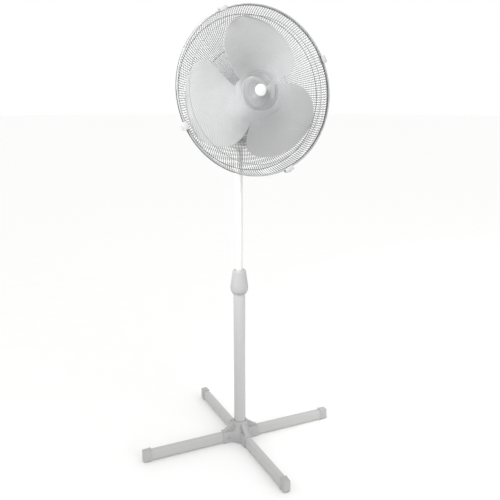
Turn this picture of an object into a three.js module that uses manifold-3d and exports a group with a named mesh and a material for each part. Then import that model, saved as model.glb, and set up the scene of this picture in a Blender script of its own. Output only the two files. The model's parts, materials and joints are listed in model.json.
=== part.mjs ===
// Pedestal fan: cross base, telescopic pole, tilting and oscillating head with a three-blade impeller.
// Millimetres, +Z up. The origin is on the floor under the pole, and the fan faces -Y.
import * as THREE from 'three';
import { mergeVertices } from 'three/addons/utils/BufferGeometryUtils.js';
import Module from 'manifold-3d';

const wasm = await Module();
wasm.setup();

// ---- Driving dimensions ----
const GAP = 0.3; // between neighbouring pieces

const armReach = 316; // pole axis to the outer face of an end cap
const armWidth = 18;
const armHeight = 30;
const armWall = 1.5;
const armLift = 3; // floor to the underside of an arm
const capWidth = 22;
const capHeight = 36;
const capLength = 26;
const hubSocketReach = 60;
const hubTop = 37;
const hubBossTop = 66;

const lowerPoleRadius = 18;
const innerPoleRadius = 11;
const poleWall = 1.2;
const lowerPoleFoot = 12.3;
const lowerPoleTop = 500;
const innerPoleFoot = 350;
const innerPoleTop = 943;
const collarTop = 556;

const neckFoot = 912;
const neckTop = 953;
const neckRadius = 38;
const neckPanelDepth = 30; // pole axis to the flat button panel
const shellWall = 2.2;

const tiltHeight = 968; // tilt bolt above the floor
const headTilt = THREE.MathUtils.degToRad(7); // the head looks up by this much at rest
const shaftHeight = 87; // motor shaft above the tilt bolt

const guardRadius = 219; // to the middle of the rim wire
const rimWire = 2.2;
const guardWire = 1.3;
const innerRingWire = 1.8;
const guardWires = 16;
const rearRimForward = 124;
const frontRimForward = 131;
const clipReach = 10; // rim wire to the outer face of a clip
const bladeTip = 198;
const bladeCount = 3;
const bladeThickness = 2.4;
const bladeMid = 100; // middle of the blades, forward of the pivot
const bladeTipRise = 38; // front to back over the full span of a blade
const bladeRootLoss = 19.5;
const bladeCamber = 5;
const impellerHubRadius = 42;

const [crankX, crankY] = [15, 49.5];
const crankThrow = 9.7;
const pinX = crankX + crankThrow;
const [anchorX, anchorY] = [15, 0]; // post of the link arm on the tilt block

// ---- Finishes ----
const finish = (color, roughness, metalness = 0) => ({ color, roughness, metalness });
const whitePlastic = finish(0xe9e9e6, 0.42);
const greyPlastic = finish(0xb9bbbc, 0.45);
const whiteEnamel = finish(0xe6e6e4, 0.35, 0.1);
const greyEnamel = finish(0xc3c5c6, 0.38, 0.1);
const silverWire = finish(0xa9abad, 0.35, 0.7);
const steel = finish(0x9a9c9e, 0.4, 0.9);
const castMetal = finish(0x8d8f92, 0.6, 0.8);
const copper = finish(0xa8602f, 0.4, 0.9);
const bronze = finish(0x9b7a45, 0.5, 0.8);
const nylon = finish(0xdcdad2, 0.55);
const darkPlastic = finish(0x2c2d2f, 0.5);

// ---- Solids ----

// Signed volume of an indexed geometry: positive when its faces point out.
function signedVolume(position, index) {
  const corner = [new THREE.Vector3(), new THREE.Vector3(), new THREE.Vector3()];
  let volume = 0;
  for (let i = 0; i < index.length; i += 3) {
    corner.forEach((point, k) => point.fromBufferAttribute(position, index[i + k]));
    volume += corner[0].dot(corner[1].clone().cross(corner[2])) / 6;
  }
  return volume;
}

// Merges shared corners, drops collapsed triangles and turns the faces outwards.
function closed(geometry) {
  const bare = geometry.clone();
  bare.deleteAttribute('normal');
  bare.deleteAttribute('uv');
  const merged = mergeVertices(bare, 1e-4);
  const source = merged.getIndex().array;
  const index = [];
  for (let i = 0; i < source.length; i += 3) {
    const [a, b, c] = [source[i], source[i + 1], source[i + 2]];
    if (a !== b && b !== c && a !== c) index.push(a, b, c);
  }
  if (signedVolume(merged.getAttribute('position'), index) < 0) index.reverse();
  merged.setIndex(index);
  return merged;
}

function toManifold(geometry) {
  const clean = closed(geometry);
  return new wasm.Manifold(new wasm.Mesh({
    numProp: 3,
    vertProperties: new Float32Array(clean.getAttribute('position').array),
    triVerts: new Uint32Array(clean.getIndex().array),
  }));
}

function toGeometry(manifold) {
  const mesh = manifold.getMesh();
  const geometry = new THREE.BufferGeometry();
  geometry.setAttribute('position', new THREE.BufferAttribute(mesh.vertProperties, 3));
  geometry.setIndex(Array.from(mesh.triVerts));
  return geometry;
}

const join = (first, ...others) =>
  toGeometry(others.reduce((sum, other) => sum.add(toManifold(other)), toManifold(first)));

const cut = (body, ...tools) =>
  toGeometry(tools.reduce((left, tool) => left.subtract(toManifold(tool)), toManifold(body)));

const keep = (body, tool) => toGeometry(toManifold(body).intersect(toManifold(tool)));

// ---- Basic shapes ----

// Box between two corners.
function block(low, high) {
  const size = high.map((value, k) => value - low[k]);
  const middle = high.map((value, k) => (value + low[k]) / 2);
  return new THREE.BoxGeometry(...size).translate(...middle);
}

// Profile of [radius, height] points turned about Z.
function turned(profile, sides = 24) {
  const points = profile.map(([radius, height]) => new THREE.Vector2(radius, height));
  return new THREE.LatheGeometry(points, sides).rotateX(Math.PI / 2);
}

// Upright rod between two heights.
function rod(radius, low, high, sides = 16, x = 0, y = 0) {
  const length = high - low;
  const upright = new THREE.CylinderGeometry(radius, radius, length, sides).rotateX(Math.PI / 2);
  return upright.translate(x, y, (low + high) / 2);
}

// Upright tube between two heights.
const tube = (outer, inner, low, high, sides = 24) =>
  turned([[inner, low], [outer, low], [outer, high], [inner, high], [inner, low]], sides);

// Turns an upright shape so that +Z points to +X.
const alongX = (geometry) => geometry.rotateY(Math.PI / 2);

// Turns an upright shape so that +Z points to +Y.
const alongY = (geometry) => geometry.rotateX(-Math.PI / 2);

// Puts a shape made about Z on the motor shaft, where +Z becomes forward.
const onShaft = (geometry) => geometry.rotateX(Math.PI / 2).translate(0, 0, shaftHeight);

// ---- Assembly ----
const fan = new THREE.Group();
const head = new THREE.Group(); // everything that tilts, measured from the tilt bolt
head.position.z = tiltHeight;
head.rotation.x = -headTilt;
fan.add(head);

function place(parent, name, geometry, look) {
  const mesh = new THREE.Mesh(closed(geometry), new THREE.MeshStandardMaterial(look));
  mesh.name = name;
  mesh.geometry.computeVertexNormals();
  parent.add(mesh);
  return mesh;
}

// ---- Base ----
const armNames = ['right', 'back', 'left', 'front'];
const armTurn = (k) => (k * Math.PI) / 2;

// Hub with four sockets, a boss for the pole and four webs that slope down onto the arms.
function baseHub() {
  const socketHalf = armWidth / 2 + 3.6;
  let hub = join(
    rod(36, 0.5, hubTop, 24),
    block([-hubSocketReach, -socketHalf, 0.5], [hubSocketReach, socketHalf, hubTop]),
    block([-socketHalf, -hubSocketReach, 0.5], [socketHalf, hubSocketReach, hubTop]),
    rod(24, hubTop - 1, hubBossTop, 24),
  );
  for (let k = 0; k < 4; k += 1) {
    const slope = new THREE.Shape([
      new THREE.Vector2(20, hubTop - 1),
      new THREE.Vector2(hubSocketReach - 3, hubTop - 1),
      new THREE.Vector2(22, hubBossTop - 4),
    ]);
    const web = new THREE.ExtrudeGeometry(slope, { depth: 14, bevelEnabled: false });
    web.translate(0, 0, -7).rotateX(Math.PI / 2).rotateZ(armTurn(k));
    hub = join(hub, web);
  }
  const pocketHalf = armWidth / 2 + GAP;
  for (let k = 0; k < 4; k += 1) {
    const pocket = block(
      [23.5, -pocketHalf, armLift - GAP],
      [hubSocketReach + 5, pocketHalf, armLift + armHeight + GAP],
    );
    hub = cut(hub, pocket.rotateZ(armTurn(k)), armScrewHole(k));
  }
  return cut(
    hub,
    rod(lowerPoleRadius + GAP * 2, lowerPoleFoot - GAP, hubBossTop + 5, 32),
    rod(16, -1, 9, 24),
    rod(4.6, 8, lowerPoleFoot, 16),
  );
}

const screwAlongArm = 46; // pole axis to an arm screw
const screwHeight = 18;

// Round hole through one side of a socket and into the arm.
function armScrewHole(k) {
  const hole = alongY(rod(2.2, 0, 20, 12)).translate(screwAlongArm, 0, screwHeight);
  return hole.rotateZ(armTurn(k));
}

// Rectangular steel tube, open at both ends.
function baseArm(k) {
  const half = armWidth / 2;
  const outer = block([24, -half, armLift], [armReach - 5, half, armLift + armHeight]);
  const inner = block(
    [20, -half + armWall, armLift + armWall],
    [armReach, half - armWall, armLift + armHeight - armWall],
  );
  return cut(outer, inner).rotateZ(armTurn(k));
}

// Moulded shoe over the end of an arm, standing on the floor.
function endCap(k) {
  const half = capWidth / 2;
  const shoe = block([armReach - capLength, -half, 0], [armReach, half, capHeight]);
  const pocketHalf = armWidth / 2 + GAP;
  const pocket = block(
    [armReach - capLength - 5, -pocketHalf, armLift - GAP],
    [armReach - 4, pocketHalf, armLift + armHeight + GAP],
  );
  return cut(shoe, pocket).rotateZ(armTurn(k));
}

// Pan-head screw through the socket wall.
function armScrew(k) {
  const wallFace = armWidth / 2 + 3.6;
  const screw = turned([[0, 4], [1.9, 4], [1.9, wallFace + 0.3], [4, wallFace + 0.3],
    [3.6, wallFace + 1.8], [2, wallFace + 2.5], [0, wallFace + 2.6]], 12);
  return alongY(screw).translate(screwAlongArm, 0, screwHeight).rotateZ(armTurn(k));
}

place(fan, 'base_hub', baseHub(), greyPlastic);
armNames.forEach((name, k) => {
  place(fan, `base_arm_${name}`, cut(baseArm(k), armScrewHole(k)), whiteEnamel);
  place(fan, `arm_end_cap_${name}`, endCap(k), greyPlastic);
  place(fan, `arm_screw_${name}`, armScrew(k), steel);
});

// ---- Pole ----
place(fan, 'pole_plug', tube(lowerPoleRadius - poleWall - GAP, 4.3, lowerPoleFoot + GAP, 34), nylon);
place(fan, 'pole_bolt', join(rod(4, 5, 32, 16), rod(9, 2.4, 8.4, 6)), steel);
place(fan, 'lower_pole',
  tube(lowerPoleRadius, lowerPoleRadius - poleWall, lowerPoleFoot, lowerPoleTop, 40), greyEnamel);
place(fan, 'inner_pole',
  tube(innerPoleRadius, innerPoleRadius - poleWall, innerPoleFoot, innerPoleTop, 32), whiteEnamel);
place(fan, 'guide_bush',
  tube(lowerPoleRadius - poleWall - GAP, innerPoleRadius + GAP, innerPoleFoot, innerPoleFoot + 25), nylon);

// ---- Height collar ----

// Threaded socket on the rim of the lower pole.
function collarBase() {
  const bore = lowerPoleRadius + GAP;
  return turned([[bore, 484], [22, 484], [22, 487], [20.6, 487], [20.6, 530], [16, 530], [16, 512],
    [12, 508], [12, lowerPoleTop + GAP], [bore, lowerPoleTop + GAP], [bore, 484]], 28);
}

// Hand nut that closes the split collet when it is turned.
function collarNut() {
  const inner = 21.2;
  return turned([[inner, 488], [24.6, 488], [26.4, 493], [26.8, 501], [26.4, 508], [23.6, 526], [21.2, 542],
    [20.2, 552], [19, collarTop - 0.6], [17.4, collarTop], [12, collarTop], [12, 551], [15.6, 549],
    [15.6, 533], [inner, 531], [inner, 488]], 28);
}

// Split sleeve that grips the inner pole.
function collarCollet() {
  const sleeve = tube(15, innerPoleRadius + GAP, 514, 547, 24);
  return cut(sleeve, block([-1.2, 5, 500], [1.2, 20, 560]));
}

place(fan, 'collar_base', collarBase(), greyPlastic);
place(fan, 'collar_nut', collarNut(), greyPlastic);
place(fan, 'collar_collet', collarCollet(), nylon);

// ---- Neck ----
const buttonNames = ['off', 'low', 'medium', 'high'];
const buttonPitch = 10.4;
const buttonHeight = 938;
const windowHalf = [4.4, 6]; // across and up
const keyHalf = windowHalf.map((half) => half - 0.4);
const buttonX = (k) => (k - (buttonNames.length - 1) / 2) * buttonPitch;
const setScrewHeight = 923.5;
const glandHeight = 940;

// Upright block at a button, between two depths.
function buttonBlock(k, [halfWidth, halfHeight], front, back) {
  return block(
    [buttonX(k) - halfWidth, front, buttonHeight - halfHeight],
    [buttonX(k) + halfWidth, back, buttonHeight + halfHeight],
  );
}

// Hollow tapered housing with a flat panel at the front, still in one piece.
function neckHousing() {
  const side = [[17.5, neckFoot], [19, neckFoot + 2], [27, neckFoot + 8], [33, neckFoot + 13],
    [37, neckFoot + 19], [neckRadius, neckFoot + 26], [neckRadius, neckTop]];
  const wall = (radius) => radius - shellWall;
  const outer = turned([[0, neckFoot], ...side, [0, neckTop]], 40);
  const inner = turned([[0, neckFoot - 1], [14.9, neckFoot - 1],
    ...side.slice(1).map(([radius, height]) => [wall(radius), height]),
    [wall(neckRadius), neckTop + 1], [0, neckTop + 1]], 40);
  const panel = block([-60, -neckPanelDepth, 800], [60, 60, 1000]);
  const innerPanel = block([-60, -neckPanelDepth + shellWall, 800], [60, 60, 1000]);
  let housing = cut(keep(outer, panel), keep(inner, innerPanel));
  buttonNames.forEach((name, k) => {
    housing = cut(housing, buttonBlock(k, windowHalf, -40, -20));
  });
  return cut(
    housing,
    alongY(rod(2.8, 10, 60, 12)).translate(0, 0, setScrewHeight),
    alongY(rod(5.6, 10, 60, 16)).translate(0, 0, glandHeight),
  );
}

// Yoke that carries the tilt bolt, with a socket for the inner pole.
function tiltBracket() {
  const bracket = join(
    block([-33, -12, 946], [33, 12, 952]),
    block([-33, -12, 950], [-27.4, 12, tiltHeight + 3]),
    block([27.4, -12, 950], [33, 12, tiltHeight + 3]),
    alongX(rod(12, -33, -27.4, 24)).translate(0, 0, tiltHeight + 3),
    alongX(rod(12, 27.4, 33, 24)).translate(0, 0, tiltHeight + 3),
    rod(14.6, neckFoot + GAP, 947, 32),
  );
  return cut(
    bracket,
    rod(innerPoleRadius + GAP, 900, innerPoleTop + GAP, 32),
    rod(8, 930, 960, 20),
    alongX(rod(4.3, -40, 40, 16)).translate(0, 0, tiltHeight),
    alongY(rod(2.8, 0, 30, 12)).translate(0, 0, setScrewHeight),
  );
}

const frontHalf = block([-60, -60, 800], [60, -GAP / 2, 1000]);
const rearHalf = block([-60, GAP / 2, 800], [60, 60, 1000]);
const setScrew = turned([[0, innerPoleRadius + GAP], [2.4, innerPoleRadius + GAP], [2.4, 20.4], [1.9, 21],
  [0, 21]], 16);
const cordGland = turned([[4, 34], [5.3, 34], [5.3, 38.3], [8.5, 38.3], [8.5, 40], [6.6, 42], [5.6, 54],
  [4, 54], [4, 34]], 20);

place(fan, 'tilt_bracket', tiltBracket(), castMetal);
place(fan, 'neck_front', keep(neckHousing(), frontHalf), whitePlastic);
place(fan, 'neck_rear', keep(neckHousing(), rearHalf), whitePlastic);
place(fan, 'pole_set_screw', alongY(setScrew).translate(0, 0, setScrewHeight), steel);
place(fan, 'cord_gland', alongY(cordGland).translate(0, 0, glandHeight), darkPlastic);
place(fan, 'switch_block', block([-21, -23, 930], [21, -15, 947]), darkPlastic);
buttonNames.forEach((name, k) => {
  place(fan, `button_${name}`, buttonBlock(k, keyHalf, -36, -27.6), greyPlastic);
});

// ---- Tilt ----
const tiltBolt = join(rod(4, -36, 46, 16), rod(7, -39.5, -33.6, 6));

// Round hand knob with a blind threaded hole.
function tiltKnob() {
  const knob = turned([[0, 47], [4.3, 47], [4.3, 33.6], [9, 33.6], [13, 37], [13, 48], [11.6, 51],
    [0, 52]], 24);
  return alongX(knob).translate(0, 0, tiltHeight);
}

// Block on the tilt bolt, with an upright bore for the pivot and a post for the link arm.
function tiltBlock() {
  const body = join(
    alongX(rod(14.5, -26.8, 26.8, 24)),
    block([-15, -12, 0], [15, 12, 16]),
    rod(16, 8, 22.5, 28),
    rod(6, 12, 23.1, 16, anchorX, anchorY),
    rod(2.4, 23, 27.2, 12, anchorX, anchorY),
  );
  return cut(body, alongX(rod(4.3, -40, 40, 16)), rod(9.3, 6, 30, 24));
}

place(fan, 'tilt_bolt', alongX(tiltBolt).translate(0, 0, tiltHeight), steel);
place(fan, 'tilt_knob', tiltKnob(), greyPlastic);
place(head, 'tilt_block', tiltBlock(), castMetal);
place(head, 'pivot_bush', tube(9, 6.3, 6.3, 22.4, 24), bronze);

// ---- Oscillation ----

// Disc with its crank pin below, and the spindle with the worm wheel above.
function crankSpindle() {
  return join(
    rod(13.5, 27.6, 30.2, 24, crankX, crankY),
    rod(2, 22.8, 28, 12, pinX, crankY),
    rod(3, 30, 100, 12, crankX, crankY),
    rod(8, 84, 90, 20, crankX, crankY),
  );
}

// Flat bar from the tilt block to the crank pin, whose eye is wide.
function linkArm() {
  const reachX = pinX - anchorX;
  const reachY = crankY - anchorY;
  const length = Math.hypot(reachX, reachY);
  const bar = block([5, -3.5, 23.6], [length - 7.5, 3.5, 26.2]);
  bar.rotateZ(Math.atan2(reachY, reachX)).translate(anchorX, anchorY, 0);
  const arm = join(bar, rod(6.4, 23.6, 26.2, 20, anchorX, anchorY), rod(9.6, 23.6, 26.2, 24, pinX, crankY));
  return cut(arm, rod(2.7, 20, 30, 12, anchorX, anchorY), rod(6.6, 20, 30, 20, pinX, crankY));
}

// Gear casing behind the motor, open where the shaft, the spindle and the clutch rod pass.
function gearboxCase() {
  const outer = block([-12, 38.6, 55], [28, 62, 110]);
  const inner = block([-9.5, 41.1, 57.5], [25.5, 59.5, 107.5]);
  return cut(
    outer,
    inner,
    alongY(rod(8.4, 30, 45, 20)).translate(0, 0, shaftHeight),
    rod(3.4, 50, 60, 12, crankX, crankY),
    rod(2.9, 100, 115, 12, crankX, crankY),
  );
}

// Cast frame: the rear plate of the motor and the foot that stands on the pivot pin.
function motorChassis() {
  const frame = join(
    onShaft(rod(46, -37.3, -33.3, 36)),
    block([-13, -12, 34.4], [13, 37, 43.2]),
    rod(12, 28.6, 36, 24),
  );
  return cut(frame, rod(6.3, 20, 50, 20), onShaft(rod(8.4, -50, -20, 20)));
}

place(head, 'crank_spindle', crankSpindle(), nylon);
place(head, 'link_arm', linkArm(), steel);
place(head, 'gearbox_case', gearboxCase(), darkPlastic);
place(head, 'motor_chassis', motorChassis(), castMetal);
place(head, 'pivot_pin', rod(6, 7, 42, 20), steel);

const clutchGrip = turned([[0, 143.5], [7.5, 143.5], [9, 145.5], [9, 156], [7.6, 158.6], [0, 159.4]]);
const clutchKnob = join(rod(2.5, 104, 145, 12), clutchGrip).translate(crankX, crankY, 0);
place(head, 'clutch_knob', clutchKnob, greyPlastic);

// ---- Motor ----

// Deep rear cover with vents in its end and holes for the pivot, the crank and the clutch rod.
function motorRearCover() {
  const shell = turned([[0, -80], [25, -78], [40, -70], [50, -58], [56, -45], [58, -30], [58, 43],
    [55.8, 43], [55.8, -29.5], [53.8, -44], [48, -56.5], [38.5, -68.2], [24, -75.8], [0, -77.8]], 28);
  const slots = [-20, -10, 0, 10, 20].map((offset) =>
    block([-18, 62, shaftHeight + offset - 1.6], [18, 90, shaftHeight + offset + 1.6]));
  return cut(
    onShaft(shell),
    ...slots,
    rod(14, 20, 60, 24),
    rod(6.5, 20, 60, 16, crankX, crankY),
    rod(3.3, 110, 150, 12, crankX, crankY),
  );
}

// Front cover with the seat for the rear guard and the boss for its nut.
function motorFrontCover() {
  return onShaft(turned([[58, 43.4], [58, 60], [55, 68], [52, 70], [30, 70], [30, 85], [27, 85], [27, 67.5],
    [50, 67.5], [52.8, 65], [55.6, 58], [55.6, 43.4], [58, 43.4]], 28));
}

// Laminated ring with its copper coils proud at both ends.
function stator() {
  return onShaft(turned([[24.6, -20], [28, -20], [28, -32], [40, -32], [40, -20], [42, -20], [42, 20],
    [40, 20], [40, 32], [28, 32], [28, 20], [24.6, 20], [24.6, -20]], 20));
}

const frontBracket = onShaft(turned([[8.4, 33], [46, 33], [46, 36.6], [14, 36.6], [14, 44], [8.4, 44],
  [8.4, 33]], 20));

// Shaft with the worm at its rear end and the spinner thread at its front.
const motorShaft = onShaft(join(rod(4, -57.5, 130, 20), rod(5.5, -57.5, -45, 16)));

place(head, 'motor_rear_cover', motorRearCover(), whitePlastic);
place(head, 'motor_front_cover', motorFrontCover(), whitePlastic);
place(head, 'motor_front_bracket', frontBracket, castMetal);
place(head, 'stator', stator(), copper);
place(head, 'bearing_front', onShaft(tube(8, 4.3, 33, 44, 20)), bronze);
place(head, 'bearing_rear', onShaft(tube(8, 4.3, -43, -33, 20)), bronze);
place(head, 'rotor', onShaft(tube(24, 4.3, -20, 20, 28)), steel);
place(head, 'motor_shaft', motorShaft, steel);

// ---- Guards ----

// Wire ring about Z through a [radius, height] point.
const wireRing = ([radius, height], wire, sides = 32) =>
  new THREE.TorusGeometry(radius, wire, 4, sides).translate(0, 0, height);

// Round wires through [radius, height] points, spread evenly about Z.
function cageWires(stations) {
  const points = stations.map(([radius, height]) => new THREE.Vector3(radius, 0, height));
  const path = new THREE.CatmullRomCurve3(points);
  const corners = Array.from({ length: 4 }, (_, k) => {
    const angle = (k * Math.PI) / 2;
    return new THREE.Vector2(guardWire * Math.cos(angle), guardWire * Math.sin(angle));
  });
  const wire = new THREE.ExtrudeGeometry(new THREE.Shape(corners), { extrudePath: path, steps: 5 });
  const pitch = (2 * Math.PI) / guardWires;
  return Array.from({ length: guardWires }, (_, k) => wire.clone().rotateZ((k + 0.5) * pitch));
}

const innerRing = [14, 150];
const frontRing = [190, 138.5];
const rearRing = [203, 93];
const frontRim = [guardRadius, frontRimForward];
const rearRim = [guardRadius, rearRimForward];
const frontStations = [innerRing, [90, 149], [150, 145], frontRing, [212, 134], frontRim];
const rearStations = [[50, 72], [110, 70.6], [170, 75], rearRing, [215, 111], rearRim];

function frontGuard() {
  return onShaft(join(
    wireRing(frontRim, rimWire, 48),
    wireRing(frontRing, guardWire),
    wireRing(innerRing, innerRingWire, 16),
    ...cageWires(frontStations),
  ));
}

function rearGuard() {
  return onShaft(join(
    tube(54, 30.4, 70.6, 73.4, 24),
    wireRing(rearRim, rimWire, 48),
    wireRing(rearRing, guardWire),
    ...cageWires(rearStations),
  ));
}

// Clip that hooks over both rims, at an angle about the shaft.
function rimClip(angle, width) {
  const outer = guardRadius + clipReach;
  const inside = guardRadius + rimWire + GAP;
  const lip = guardRadius - 3;
  const low = rearRimForward - rimWire - GAP;
  const high = frontRimForward + rimWire + GAP;
  const hook = new THREE.Shape([
    new THREE.Vector2(lip, low - 2.4), new THREE.Vector2(outer, low - 2.4),
    new THREE.Vector2(outer, high + 2.4), new THREE.Vector2(lip, high + 2.4),
    new THREE.Vector2(lip, high), new THREE.Vector2(inside, high),
    new THREE.Vector2(inside, low), new THREE.Vector2(lip, low),
  ]);
  const clip = new THREE.ExtrudeGeometry(hook, { depth: width, bevelEnabled: false });
  clip.translate(0, 0, -width / 2).rotateX(Math.PI / 2).rotateZ(angle);
  return clip;
}

const clipAngles = [22.5, 112.5, 202.5].map(THREE.MathUtils.degToRad);
const lockAngle = THREE.MathUtils.degToRad(292.5);
const rimMiddle = (rearRimForward + frontRimForward) / 2;

// Screw that holds the lock clip from outside.
function lockScrew() {
  const face = guardRadius + clipReach;
  const screw = turned([[0, face - 4], [1.9, face - 4], [1.9, face + GAP], [4, face + GAP],
    [3.4, face + 2.4], [0, face + 3]], 12);
  return onShaft(alongX(screw).rotateZ(lockAngle).translate(0, 0, rimMiddle));
}

function lockClip() {
  const hole = alongX(rod(2.2, guardRadius, guardRadius + 20, 12));
  return onShaft(cut(rimClip(lockAngle, 24), hole.rotateZ(lockAngle).translate(0, 0, rimMiddle)));
}

const guardNut = onShaft(turned([[30.4, 73.8], [44, 73.8], [44, 79], [42, 81], [30.4, 81],
  [30.4, 73.8]], 24));
const frontCap = onShaft(turned([[0, 146], [11.9, 146], [11.9, 152.1], [16, 152.1], [16, 153.5], [14, 155],
  [0, 155.5]], 24));

place(head, 'rear_guard', rearGuard(), silverWire);
place(head, 'guard_nut', guardNut, greyPlastic);
place(head, 'front_guard', frontGuard(), silverWire);
place(head, 'front_cap', frontCap, whitePlastic);
clipAngles.forEach((angle, k) => {
  place(head, `guard_clip_${k + 1}`, onShaft(rimClip(angle, 20)), greyPlastic);
});
place(head, 'guard_lock_clip', lockClip(), greyPlastic);
place(head, 'guard_lock_screw', lockScrew(), steel);

// ---- Impeller ----

// Blade edges as angles in degrees at a fraction of the tip radius.
const leadingEdge = (reach) => 20 + 40 * (1 - reach) ** 3 + 75 * reach ** 10;
const trailingEdge = (reach) => 125 + 26 * (1 - reach) ** 1.5 - 28 * reach ** 6;
const fullSpan = 103;

// Broad petal: a thin box bent so that its angle, radius and height follow the blade's edges.
function blade() {
  const petal = new THREE.BoxGeometry(1, 1, 1, 6, 6, 1);
  const position = petal.getAttribute('position');
  const root = impellerHubRadius - 1.6;
  for (let i = 0; i < position.count; i += 1) {
    const across = position.getX(i) + 0.5;
    const outward = 1 - (0.5 - position.getY(i)) ** 1.4;
    const radius = root + (bladeTip - 0.5 - root) * outward;
    const reach = radius / bladeTip;
    const span = trailingEdge(reach) - leadingEdge(reach);
    const angle = THREE.MathUtils.degToRad(leadingEdge(reach) + span * across);
    const fullRise = bladeTipRise - bladeRootLoss * (1 - reach) ** 3;
    const rise = (fullRise * span * (across - 0.5)) / fullSpan;
    const camber = bladeCamber * reach * Math.sin(Math.PI * across);
    const height = bladeMid + rise - camber + bladeThickness * position.getZ(i);
    position.setXYZ(i, radius * Math.cos(angle), radius * Math.sin(angle), height);
  }
  return petal;
}

// Cup-shaped hub, open to the rear, with a boss on the shaft.
function impeller() {
  const cup = turned([[4.3, 85], [9, 85], [9, 111], [26, 111.4], [36, 110], [39.4, 105], [39.4, 86],
    [impellerHubRadius, 86], [impellerHubRadius, 108], [39, 114], [30, 117], [4.3, 117], [4.3, 85]], 27);
  const pitch = (2 * Math.PI) / bladeCount;
  const petals = Array.from({ length: bladeCount }, (_, k) => blade().rotateZ(k * pitch));
  return onShaft(join(cup, ...petals));
}

const spinner = onShaft(turned([[0, 131.5], [4.3, 131.5], [4.3, 117.4], [19, 117.4], [19, 123], [16.6, 132],
  [10, 138], [0, 140]], 20));

place(head, 'impeller', impeller(), whitePlastic);
place(head, 'spinner', spinner, whitePlastic);

export default fan;
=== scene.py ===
import json
import math
import bpy
import bmesh
from mathutils import Matrix, Vector


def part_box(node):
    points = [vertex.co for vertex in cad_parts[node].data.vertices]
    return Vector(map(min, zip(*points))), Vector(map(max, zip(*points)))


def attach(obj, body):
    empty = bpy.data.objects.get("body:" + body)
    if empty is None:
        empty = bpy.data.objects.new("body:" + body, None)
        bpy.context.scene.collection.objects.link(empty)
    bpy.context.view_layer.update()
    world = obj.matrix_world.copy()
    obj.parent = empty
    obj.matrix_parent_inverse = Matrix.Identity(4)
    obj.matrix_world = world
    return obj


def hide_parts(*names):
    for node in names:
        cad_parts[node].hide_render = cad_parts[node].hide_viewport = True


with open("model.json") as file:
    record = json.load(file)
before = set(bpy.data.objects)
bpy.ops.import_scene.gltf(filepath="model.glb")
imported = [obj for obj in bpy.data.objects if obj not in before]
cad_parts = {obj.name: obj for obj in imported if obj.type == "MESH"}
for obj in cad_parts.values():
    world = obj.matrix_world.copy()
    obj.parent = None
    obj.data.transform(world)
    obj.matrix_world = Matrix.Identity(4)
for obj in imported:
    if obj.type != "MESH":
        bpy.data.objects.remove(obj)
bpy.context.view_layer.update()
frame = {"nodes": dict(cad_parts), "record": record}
record = frame["record"]
mm = 0.001
joints = {joint["name"]: joint for joint in record["behaviour"]["joints"]}
bodyOf = {node: body for body, nodes in record["behaviour"]["bodies"].items() for node in nodes}
slotOf = {row["node"]: row["material_slot"] for row in record["subparts"]}

# The head's own frame: X right, Y back, Z up along the swivel, from the tilt bolt.
tiltPoint = Vector(joints["tilt"]["pos_m"])
headUp = Vector(joints["oscillation"]["axis"]).normalized()
headForward = Vector(joints["blade_spin"]["axis"]).normalized()
headAxes = Matrix((Vector((1, 0, 0)), -headForward, headUp)).transposed()
headPlace = Matrix.Translation(tiltPoint) @ headAxes.to_4x4()
shaftUp = (Vector(joints["blade_spin"]["pos_m"]) - tiltPoint).dot(headUp)
# Turns that lay a shape made about Z towards the front (-Y), the back (+Y) or the right (+X).
toFront = Matrix.Rotation(math.pi / 2, 4, "X")
toBack = Matrix.Rotation(-math.pi / 2, 4, "X")
toRight = Matrix.Rotation(math.pi / 2, 4, "Y")
# Shapes turned about Z go on the motor shaft with Z forward and Y up.
shaftPlace = headPlace @ Matrix.Translation((0, 0, shaftUp)) @ toFront


def linear(hexColour):
    parts = [int(hexColour[k:k + 2], 16) / 255 for k in (1, 3, 5)]
    parts = [c / 12.92 if c <= 0.04045 else ((c + 0.055) / 1.055) ** 2.4 for c in parts]
    return (*parts, 1)


# Moves a shape by distances in mm.
def shiftBy(x, y, z):
    return Matrix.Translation((x * mm, y * mm, z * mm))


def addNode(tree, kind, settings=None, links=None):
    node = tree.nodes.new(kind)
    for name, value in (settings or {}).items():
        if isinstance(name, str) and hasattr(node, name):
            setattr(node, name, value)
        else:
            node.inputs[name].default_value = value
    for name, source in (links or {}).items():
        tree.links.new(source, node.inputs[name])
    return node


# Lowest and highest corners of a CAD node, in mm.
def boxOf(node):
    return [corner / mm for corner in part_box(node)]


def vertsIn(parts):
    return [part for part in parts if isinstance(part, bmesh.types.BMVert)]


def allOf(bm):
    return bm.verts[:] + bm.edges[:] + bm.faces[:]


def roundOff(bm, parts, size, segments, affect="EDGES"):
    bmesh.ops.bevel(bm, geom=parts, offset=size * mm, segments=segments, profile=0.5, affect=affect,
                    material=-1)


# Spins the points and edges once round Z, with the join merged.
def spinRound(bm, steps):
    bmesh.ops.spin(bm, geom=bm.verts[:] + bm.edges[:], cent=(0, 0, 0), axis=(0, 0, 1),
                   angle=2 * math.pi, steps=steps, use_merge=True)
    bmesh.ops.remove_doubles(bm, verts=bm.verts, dist=0.01 * mm)


# Flutes and teeth: draws each vertex towards Z by the mm that depthAt(radius, height, angle) gives.
def pressIn(bm, depthAt):
    for vert in bm.verts:
        radius = Vector(vert.co.xy).length / mm
        depth = depthAt(radius, vert.co.z / mm, math.atan2(vert.co.y, vert.co.x))
        if depth:
            vert.co.xy *= 1 - depth / radius


# Even flutes or teeth round Z, where the radius is past inside and the height is between low and high.
def flute(bm, count, depth, inside, low=-200, high=200, power=1):
    def wave(radius, height, angle):
        if radius <= inside or not low < height < high:
            return 0
        return depth * (0.5 - 0.5 * math.cos(count * angle)) ** power

    pressIn(bm, wave)


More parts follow.
